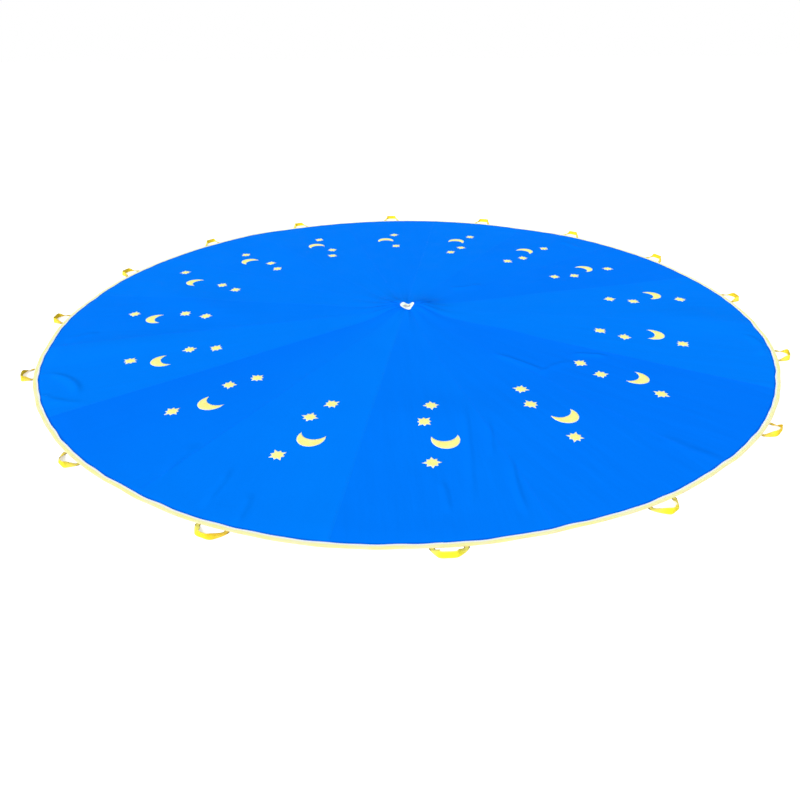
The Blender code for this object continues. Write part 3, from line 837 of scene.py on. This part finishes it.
def make_grip(index, material):
    """One webbing loop on its hinge line, replacing its solid."""
    body = f"grip_{index + 1:02d}"
    place = Vector(GRIP_JOINTS[body]["pos_m"])
    hinge_way = GRIP_JOINTS[body]["axis"]
    turn = math.atan2(-hinge_way[1], -hinge_way[0])
    pairs = grip_edges(index, place.z)
    stand = Matrix.Translation(place) @ Matrix.Rotation(turn, 4, "Z")
    shares = [column / WEBBING_COLUMNS for column in range(WEBBING_COLUMNS + 1)]
    points = [stand @ outer.lerp(inner, share) for outer, inner in pairs for share in shares]
    grip = mesh_object(f"grip_webbing_{index + 1:02d}", points, grid_faces(len(pairs), len(shares)))
    middles = [(outer + inner) / 2 for outer, inner in pairs]
    run = np.cumsum([0.0] + [(after - before).length for before, after in zip(middles, middles[1:])])
    across = np.tile(shares, len(pairs)) * WEBBING_WIDTH
    along = np.repeat(run, len(shares))
    corners = corner_points(grip.data)
    set_weave(grip.data, along[corners], across[corners])
    set_value(grip, "from_end", np.minimum(along, run[-1] - along) / run[-1])
    set_value(grip, "across_share", across / WEBBING_WIDTH)
    # painted shade along the grip, from one side to the other
    set_value(grip, "painted_shade_share", between(GRIP_PAINTED_SHADE_SHARES[index], smooth_step(along / run[-1])))
    grip.data.materials.append(material)
    thicken(grip, WEBBING_THICKNESS, 0.0)
    rounding = grip.modifiers.new("rounding", "BEVEL")
    rounding.width = WEBBING_ROUNDING
    rounding.segments = WEBBING_ROUNDING_STEPS
    rounding.limit_method = "ANGLE"
    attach(grip, body)
    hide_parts(HANDLE_NAMES[index])


def moon_outline():
    """A crescent with its hollow side towards +Y."""
    points = []
    for radii, shift, turn_deg, way in (
        (MOON_OUTER_RADII, MOON_OUTER_SHIFT, MOON_OUTER_TURN_DEG, 1),
        (MOON_INNER_RADII, MOON_INNER_SHIFT, MOON_INNER_TURN_DEG, -1),
    ):
        for step in range(MOON_STEPS + 1):
            turn = way * math.radians(turn_deg) * (2 * step / MOON_STEPS - 1)
            points.append((radii[0] * math.sin(turn), shift - radii[1] * math.cos(turn)))
    return points


def centred(outline):
    """The outline with the middle of its area at the origin."""
    area, sum_x, sum_y = 0.0, 0.0, 0.0
    for (ax, ay), (bx, by) in zip(outline, outline[1:] + outline[:1]):
        cross = ax * by - bx * ay
        area += cross / 2
        sum_x += (ax + bx) * cross / 6
        sum_y += (ay + by) * cross / 6
    return [(x - sum_x / area, y - sum_y / area) for x, y in outline]


def star_outline(first):
    """A star whose points reach out unevenly."""
    points = []
    for corner in range(2 * STAR_POINTS):
        angle = math.pi * corner / STAR_POINTS
        reach = STAR_WAIST_SHARE
        if corner % 2 == 0:
            reach = STAR_REACH_SHARES[(corner // 2 + first) % STAR_POINTS]
        points.append((STAR_RADIUS * reach * math.sin(angle), STAR_RADIUS * reach * math.cos(angle)))
    return points


def inside(point, outline):
    """Whether a point lies inside a closed outline."""
    x, y = point
    found = False
    for (ax, ay), (bx, by) in zip(outline, outline[1:] + outline[:1]):
        if (ay > y) != (by > y) and x < ax + (y - ay) * (bx - ax) / (by - ay):
            found = not found
    return found


def filled(outline):
    """Triangles that fill an outline closely enough to follow the cloth."""
    size = max(max(abs(x), abs(y)) for x, y in outline)
    ticks = [-size + PRINT_SPACING * step for step in range(int(2 * size / PRINT_SPACING) + 1)]
    spots = [(x, y) for x in ticks for y in ticks if inside((x, y), outline)]
    corners = [Vector(point) for point in outline + spots]
    rim = [(i, (i + 1) % len(outline)) for i in range(len(outline))]
    points, _, faces, *_ = geometry.delaunay_2d_cdt(corners, rim, [], 1, PRINT_WELD)
    return points, faces


def edge_distance(point, outline):
    """How far a point lies from an outline."""
    distances = []
    for start, end in zip(outline, outline[1:] + outline[:1]):
        share = geometry.intersect_point_line(point, start, end)[1]
        distances.append((point - Vector(start).lerp(Vector(end), min(max(share, 0.0), 1.0))).length)
    return min(distances)


def seen_place(x, y, surface):
    """The place on the cloth that the photograph's camera sees in line with a place of the ground plan."""
    eye = Vector(CAMERA_PLACE)
    hit = surface.ray_cast(eye, Vector((x, y, -PRINT_AIM_DROP)) - eye)[0]
    return (x, y) if hit is None else (hit.x, hit.y)


def make_print(index, surface, material):
    """The crescent and the three stars printed on a gore, laid on its cloth."""
    points, faces, depths = [], [], []
    middle = gore_azimuth(index)
    stars = STARS_ON_BACK_GORE if index == GORES // 2 else len(STAR_PLACES)
    motifs = [(moon_outline(), MOON_PLACE)]
    motifs += [(star_outline(index + number), STAR_PLACES[number]) for number in range(stars)]
    out_shift, turn_shift, stretch, twist = PRINT_SHIFTS[index]
    for outline, (radius_share, turn_deg) in motifs:
        outline = centred(outline)
        flat, triangles = filled(outline)
        depths += [edge_distance(spot, outline) for spot in flat]
        past = max(0.0, radius_share - PRINT_STRAY_START)
        radius = (radius_share + out_shift + stretch * past) * BLUE_RADIUS_SHARE * CANOPY_RADIUS
        azimuth = middle + math.radians(turn_deg + turn_shift + twist * past)
        x, y = seen_place(*plan_point(radius, azimuth), surface)
        turn = Matrix.Rotation(azimuth, 2)
        first = len(points)
        for spot in flat:
            moved = turn @ spot
            hit = drop_on(surface, x + moved.x, y + moved.y)
            points.append(hit + UP * (CLOTH_THICKNESS + PRINT_LIFT))
        faces += [tuple(first + corner for corner in triangle) for triangle in triangles]
    ink = mesh_object(f"gore_print_{index + 1:02d}", points, faces)
    set_plan_weave(ink.data, middle)
    set_value(ink, "ink_depth", depths)
    ink.data.materials.append(material)
    thicken(ink, PRINT_THICKNESS, 1.0)
    blend_gore(ink)


def stitches(name, ends, material):
    """Stitches as small raised threads, each from its start to its end on a level surface."""
    points, faces = [], []
    low = UP * STITCH_SINK
    for start, end in ends:
        side = (end - start).normalized().cross(UP).normalized() * STITCH_WIDTH / 2
        middle = (start + end) / 2
        first = len(points)
        points += [start - low, middle + side - low, end - low, middle - side - low]
        points.append(middle + UP * STITCH_HEIGHT)
        faces += [(first + corner, first + (corner + 1) % 4, first + 4) for corner in range(4)]
        faces.append((first + 3, first + 2, first + 1, first))
    thread = mesh_object(name, points, faces, smooth=False)
    thread.data.materials.append(material)
    return thread


def ring_stitches(radius, height):
    """The two ends of each stitch round a ring of tape."""
    count = int(2 * math.pi * radius / STITCH_PITCH)
    half = STITCH_LENGTH / STITCH_PITCH * math.pi / count
    middles = 2 * math.pi * np.arange(count) / count
    ends = []
    for turn in (middles - half, middles + half):
        azimuth = turn + gore_azimuth(0)
        ends.append(lay(np.full(count, radius), azimuth, crown_height(radius, azimuth) + height))
    return [(Vector(start), Vector(end)) for start, end in zip(*ends)]


def make_tape_thread(name, body, fold_radius, open_radius, material):
    """The row of stitches that holds a binding tape."""
    outward = tape_way(fold_radius, open_radius)
    share = TAPE_ROW_INSET / abs(fold_radius - open_radius) * 2
    edge_top = CLOTH_LIFT + CLOTH_THICKNESS + TAPE_EASE + TAPE_THICKNESS
    height = edge_top + share * (TAPE_FOLD_THICKNESS - edge_top) / 2
    thread = stitches(name, ring_stitches(open_radius + outward * TAPE_ROW_INSET, height), material)
    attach(thread, body)


def make_seam_thread(index, surface, material):
    """The two rows of stitches along the lap between this gore and the next."""
    radii = np.arange(VENT_OUTER_RADIUS + SEAM_END_EASE, RIM_INNER_RADIUS, STITCH_PITCH)
    seam = gore_azimuth(index) + GORE_ANGLE / 2
    stitch_ends = []
    for side in (-1, 1):
        for radius in radii:
            ends = []
            for end_radius in (radius, radius + STITCH_LENGTH):
                off = side * SEAM_ROW_SHARE * float(seam_half_width(end_radius)) / end_radius
                hit = drop_on(surface, *lay(end_radius, seam + off, 0.0)[:2])
                if hit is not None:
                    ends.append(hit + UP * CLOTH_THICKNESS)
            if len(ends) == 2:
                stitch_ends.append(ends)
    thread = stitches(f"seam_thread_{index + 1:02d}", stitch_ends, material)
    blend_gore(thread)


class Nodes:
    """A material's nodes, made one after another."""

    def __init__(self, name, specular, roughness):
        self.material = bpy.data.materials.new(name)
        self.material.use_nodes = True
        self.tree = self.material.node_tree
        self.shader = self.tree.nodes["Principled BSDF"]
        self.shader.inputs["Specular IOR Level"].default_value = specular
        self.shader.inputs["Roughness"].default_value = roughness

    def give(self, slot, value):
        """Sets an input to a value, or links it to another node's output."""
        if isinstance(value, bpy.types.NodeSocket):
            self.tree.links.new(value, slot)
        else:
            slot.default_value = value

    def add(self, kind, settings=None, **inputs):
        """Adds a node, with its inputs by name, or by number after the letter i."""
        node = self.tree.nodes.new(kind)
        for key, value in (settings or {}).items():
            setattr(node, key, value)
        for key, value in inputs.items():
            by_number = key[0] == "i" and key[1:].isdigit()
            self.give(node.inputs[int(key[1:]) if by_number else key], value)
        return node

    def math(self, operation, first, second=0.0, third=0.0):
        return self.add("ShaderNodeMath", {"operation": operation}, i0=first, i1=second, i2=third).outputs[0]

    def ramp(self, value, low, high, to_low, to_high):
        """A share that goes smoothly from its first value to its last between two values of another."""
        ranged = self.add("ShaderNodeMapRange", {"interpolation_type": "SMOOTHSTEP"}, Value=value)
        span = {"From Min": low, "From Max": high, "To Min": to_low, "To Max": to_high}
        for name, limit in span.items():
            ranged.inputs[name].default_value = limit
        return ranged.outputs[0]

    def mix(self, share, first, second):
        return self.add("ShaderNodeMix", {"data_type": "RGBA"}, i0=share, i6=first, i7=second).outputs[2]

    def attribute(self, name):
        return self.add("ShaderNodeAttribute", {"attribute_name": name}).outputs["Fac"]

    def uv(self):
        return self.add("ShaderNodeUVMap", {"uv_map": "weave"}).outputs[0]

    def noise(self, place, scale, detail=2.0):
        return self.add("ShaderNodeTexNoise", Vector=place, Scale=scale, Detail=detail).outputs[0]

    def patches(self, place, scale, detail, *span):
        """A share that goes up and down in patches."""
        return self.ramp(self.noise(place, scale, detail), *span)

    def band(self, name, span):
        """A share that goes over a band of the piece, by a number kept for each of its points."""
        return self.ramp(self.attribute(name), *span)

    def threads(self, place, pitch, direction):
        """Rows of round threads across one direction of the weave."""
        settings = {"wave_type": "BANDS", "bands_direction": direction, "wave_profile": "SIN"}
        scale = math.pi / 10 / pitch
        return self.add("ShaderNodeTexWave", settings, Vector=place, Scale=scale).outputs["Fac"]

    def weave(self, place, pitch):
        """Height of a plain weave: warp and weft threads in turn."""
        return self.math("MULTIPLY", *(self.threads(place, pitch, way) for way in "XY"))

    def bump(self, height, distance, strength, normal=None):
        node = self.add("ShaderNodeBump", Height=height, Distance=distance, Strength=strength)
        if normal is not None:
            self.tree.links.new(normal, node.inputs["Normal"])
        return node.outputs[0]

    def grain(self, place, scale, detail, distance, strength, normal=None):
        """Uneven bumps of noise."""
        return self.bump(self.noise(place, scale, detail), distance, strength, normal)

    def finish(self, color, normal, roughness=None):
        """Links the surface's colour, bumps and roughness to its shader."""
        self.give(self.shader.inputs["Base Color"], color)
        self.give(self.shader.inputs["Normal"], normal)
        if roughness is not None:
            self.give(self.shader.inputs["Roughness"], roughness)
        return self.material


def cloth_material():
    """Thin blue woven nylon: each gore lighter or darker as painted sheen, with painted shade beside the rim
    tape and at the vent.
    """
    n = Nodes("canopy_cloth_finish", specular=0.002, roughness=0.55)
    n.shader.inputs["Sheen Weight"].default_value = CLOTH_SHEEN
    n.shader.inputs["Sheen Tint"].default_value = SHEEN_BLUE
    place = n.uv()
    # painted sheen of each gore, with a random uneven tone on top
    tone = n.math("MULTIPLY_ADD", n.attribute("gore_painted_sheen"), 0.5, 0.5)
    noise_value = n.noise(place, *CLOTH_UNEVEN_NOISE)
    uneven = n.math("MULTIPLY_ADD", noise_value, CLOTH_UNEVEN_SHARE, -CLOTH_UNEVEN_SHARE / 2)
    color = n.mix(n.math("ADD", tone, uneven), CLOTH_BLUE_DARK, CLOTH_BLUE_LIGHT)
    # painted shade beside the rim tape and between the gathers at the vent
    shade = n.math("MAXIMUM", n.band("rim_distance", RIM_SHADE_BAND), n.attribute("vent_shade"))
    color = n.mix(shade, color, CLOTH_BLUE_PAINTED_SHADE)
    wrinkles = n.grain(place, *CLOTH_WRINKLES)
    lengthways = n.add("ShaderNodeMapping", Vector=place, Scale=STREAK_SCALE).outputs[0]
    streaks = n.grain(lengthways, *CLOTH_STREAKS, wrinkles)
    pitch, *bumps = CLOTH_WEAVE
    normal = n.bump(n.weave(place, pitch), *bumps, streaks)
    return n.finish(color, normal, n.patches(place, *CLOTH_ROUGHNESS))


def tape_material(name, pale):
    """Pale ribbed tape, with a painted highlight line at its open edge, and tan along its fold, partly wear
    and partly painted shade of the fold's underside.
    """
    n = Nodes(name, specular=0.15, roughness=0.75)
    place = n.uv()
    color = n.mix(n.patches(place, *TAPE_CREAM_PATCHES), pale, TAPE_CREAM)
    # painted highlight along the open edge
    color = n.mix(n.band("fold_share", TAPE_HIGHLIGHT_BAND), color, TAPE_HIGHLIGHT_WHITE)
    # tan along the fold: partly wear, partly painted shade of the fold's underside
    worn_and_shaded = n.math("MULTIPLY", n.band("fold_share", TAPE_SHADE_AND_WEAR_BAND), n.patches(place, *TAPE_SHADE_AND_WEAR_PATCHES))
    color = n.mix(worn_and_shaded, color, TAPE_TAN)
    pitch, *bumps = TAPE_RIBS
    ribs = n.bump(n.threads(place, pitch, "X"), *bumps)
    normal = n.grain(place, *TAPE_GRAIN, ribs)
    return n.finish(color, normal, n.patches(place, *TAPE_ROUGHNESS))


def webbing_material():
    """Golden webbing in a plain weave, paler at its edges, with painted light on its arms, painted shade in
    gold on its shaded sides and between its threads, and a painted shadow in brown at the corners of its sewn
    ends.
    """
    n = Nodes("handle_webbing_finish", specular=0.2, roughness=0.62)
    place = n.uv()
    from_middle = n.math("ABSOLUTE", n.math("SUBTRACT", n.attribute("across_share"), 0.5))
    color = n.mix(n.ramp(from_middle, *WEBBING_PALE_EDGES), WEBBING_YELLOW, WEBBING_PALE)
    # painted light: the arms paler
    color = n.mix(n.band("from_end", WEBBING_PAINTED_LIGHT_ENDS), color, WEBBING_PALE)
    # painted shade in gold
    gold_shade = n.math("MULTIPLY", n.attribute("painted_shade_share"), n.patches(place, *WEBBING_SHADE_PATCHES))
    color = n.mix(gold_shade, color, WEBBING_SHADE_GOLD)
    pitch, *bumps = WEBBING_WEAVE
    threads = n.weave(place, pitch)
    # painted shade in the gaps between the threads
    color = n.mix(n.ramp(threads, *WEBBING_THREAD_GAP_SHADE), color, WEBBING_SHADE_GOLD)
    # painted shadow in brown at the corners of the sewn ends
    at_edge = n.ramp(from_middle, *WEBBING_SHADOW_EDGES)
    sewn = n.math("MULTIPLY", n.band("from_end", WEBBING_SHADOW_ENDS), at_edge)
    color = n.mix(sewn, color, WEBBING_SHADOW_BROWN)
    return n.finish(color, n.bump(threads, *bumps), n.patches(place, *WEBBING_ROUGHNESS))


def print_material():
    """Pale yellow ink that follows the cloth's weave, paler at its edge."""
    n = Nodes("motif_print_finish", specular=0.15, roughness=0.6)
    place = n.uv()
    color = n.mix(n.patches(place, *PRINT_PALE_PATCHES), PRINT_YELLOW, PRINT_PALE)
    color = n.mix(n.patches(place, *PRINT_WARM_PATCHES), color, PRINT_WARM)
    color = n.mix(n.band("ink_depth", PRINT_EDGE_BAND), color, PRINT_EDGE)
    pitch, *bumps = PRINT_WEAVE
    normal = n.bump(n.weave(place, pitch), *bumps, n.grain(place, *PRINT_WRINKLES))
    return n.finish(color, normal, n.patches(place, *PRINT_ROUGHNESS))


def thread_material(name, color_low, color_high):
    """Twisted sewing thread."""
    n = Nodes(name, specular=0.2, roughness=0.6)
    place = n.add("ShaderNodeTexCoord").outputs["Object"]
    color = n.mix(n.noise(place, THREAD_TWIST_SCALE), color_low, color_high)
    return n.finish(color, n.grain(place, *THREAD_GRAIN))


def seen_share(tree):
    """1 for what the camera, reflections and clear surfaces see, and 0 for what lights the object."""
    rays = tree.nodes.new("ShaderNodeLightPath")
    share = rays.outputs["Is Camera Ray"]
    for name in ("Is Glossy Ray", "Is Transmission Ray"):
        most = tree.nodes.new("ShaderNodeMath")
        most.operation = "MAXIMUM"
        tree.links.new(share, most.inputs[0])
        tree.links.new(rays.outputs[name], most.inputs[1])
        share = most.outputs[0]
    return share


def floor_material():
    """A plain white floor that keeps shadows and shows white where nothing shades it."""
    n = Nodes("floor_finish", specular=0.0, roughness=0.9)
    n.shader.inputs["Base Color"].default_value = FLOOR_WHITE
    n.shader.inputs["Emission Color"].default_value = WHITE
    n.give(n.shader.inputs["Emission Strength"], n.math("MULTIPLY", seen_share(n.tree), FLOOR_GLOW))
    return n.material


def make_floor():
    """A wide plain floor just under the canopy."""
    half = FLOOR_SIZE / 2
    corners = [(-half, -half), (half, -half), (half, half), (-half, half)]
    floor = mesh_object("floor", [(x, y, -FLOOR_DROP) for x, y in corners], [(0, 1, 2, 3)], smooth=False)
    floor.data.materials.append(floor_material())


def make_world():
    """Soft light from all round, and a white background for what the camera and reflections see."""
    world = bpy.data.worlds.new("studio")
    bpy.context.scene.world = world
    world.use_nodes = True
    tree = world.node_tree
    soft = tree.nodes["Background"]
    white = tree.nodes.new("ShaderNodeBackground")
    for light, strength in ((soft, WORLD_STRENGTH), (white, 1.0)):
        light.inputs["Color"].default_value = WHITE
        light.inputs["Strength"].default_value = strength
    mix = tree.nodes.new("ShaderNodeMixShader")
    for slot, output in zip(mix.inputs, (seen_share(tree), soft.outputs[0], white.outputs[0])):
        tree.links.new(output, slot)
    tree.links.new(mix.outputs[0], tree.nodes["World Output"].inputs["Surface"])


def make_sun():
    """One broad soft lamp, high over the camera's left shoulder."""
    lamp = bpy.data.lights.new("softbox", "SUN")
    lamp.energy = SUN_STRENGTH
    lamp.angle = math.radians(SUN_SPREAD_DEG)
    sun = bpy.data.objects.new("softbox", lamp)
    sun.rotation_euler = (math.radians(SUN_TILT_DEG), 0.0, math.radians(SUN_AZIMUTH_DEG))
    bpy.context.scene.collection.objects.link(sun)


def make_camera():
    """The photograph's camera."""
    yaw, pitch, roll = (math.radians(angle) for angle in (CAMERA_YAW_DEG, CAMERA_PITCH_DEG, CAMERA_ROLL_DEG))
    ahead = Vector((math.sin(yaw) * math.cos(pitch), math.cos(yaw) * math.cos(pitch), -math.sin(pitch)))
    level_right = Vector((math.cos(yaw), -math.sin(yaw), 0.0))
    level_up = level_right.cross(ahead)
    right = level_right * math.cos(roll) + level_up * math.sin(roll)
    up = level_up * math.cos(roll) - level_right * math.sin(roll)
    data = bpy.data.cameras.new("camera")
    data.lens = CAMERA_LENS
    data.sensor_width = CAMERA_SENSOR
    camera = bpy.data.objects.new("camera", data)
    turn = Matrix((right, up, -ahead)).transposed().to_4x4()
    camera.matrix_world = Matrix.Translation(CAMERA_PLACE) @ turn
    bpy.context.scene.collection.objects.link(camera)
    bpy.context.scene.camera = camera


def dress():
    """Makes every piece of the object."""
    cloth = cloth_material()
    ink = print_material()
    webbing = webbing_material()
    thread = thread_material("tape_thread_finish", THREAD_CREAM, TAPE_CREAM)
    seam_thread = thread_material("seam_thread_finish", THREAD_BLUE, CLOTH_BLUE)
    for index in range(GORES):
        surface = make_gore(index, cloth)
        make_print(index, surface, ink)
        make_seam_thread(index, surface, seam_thread)
        make_grip(index, webbing)
    rim = tape_material("rim_tape_finish", TAPE_YELLOW)
    # the vent tape's near white is painted light
    vent = tape_material("vent_tape_finish", VENT_TAPE_LIT_PALE)
    rim_steps = GORES * RIM_STEPS_PER_GORE
    vent_steps = GORES * VENT_STEPS_PER_GORE
    make_tape("rim_tape", "rim_binding", "canopy", CANOPY_RADIUS, RIM_INNER_RADIUS, rim_steps, rim)
    make_tape("vent_tape", "vent_binding", "crown", VENT_HOLE_RADIUS, VENT_OUTER_RADIUS, vent_steps, vent)
    make_tape_thread("rim_thread", "canopy", CANOPY_RADIUS, RIM_INNER_RADIUS, thread)
    make_tape_thread("vent_thread", "crown", VENT_HOLE_RADIUS, VENT_OUTER_RADIUS, thread)


bpy.context.scene.view_settings.view_transform = "Standard"
make_camera()
make_floor()
make_world()
make_sun()
dress()
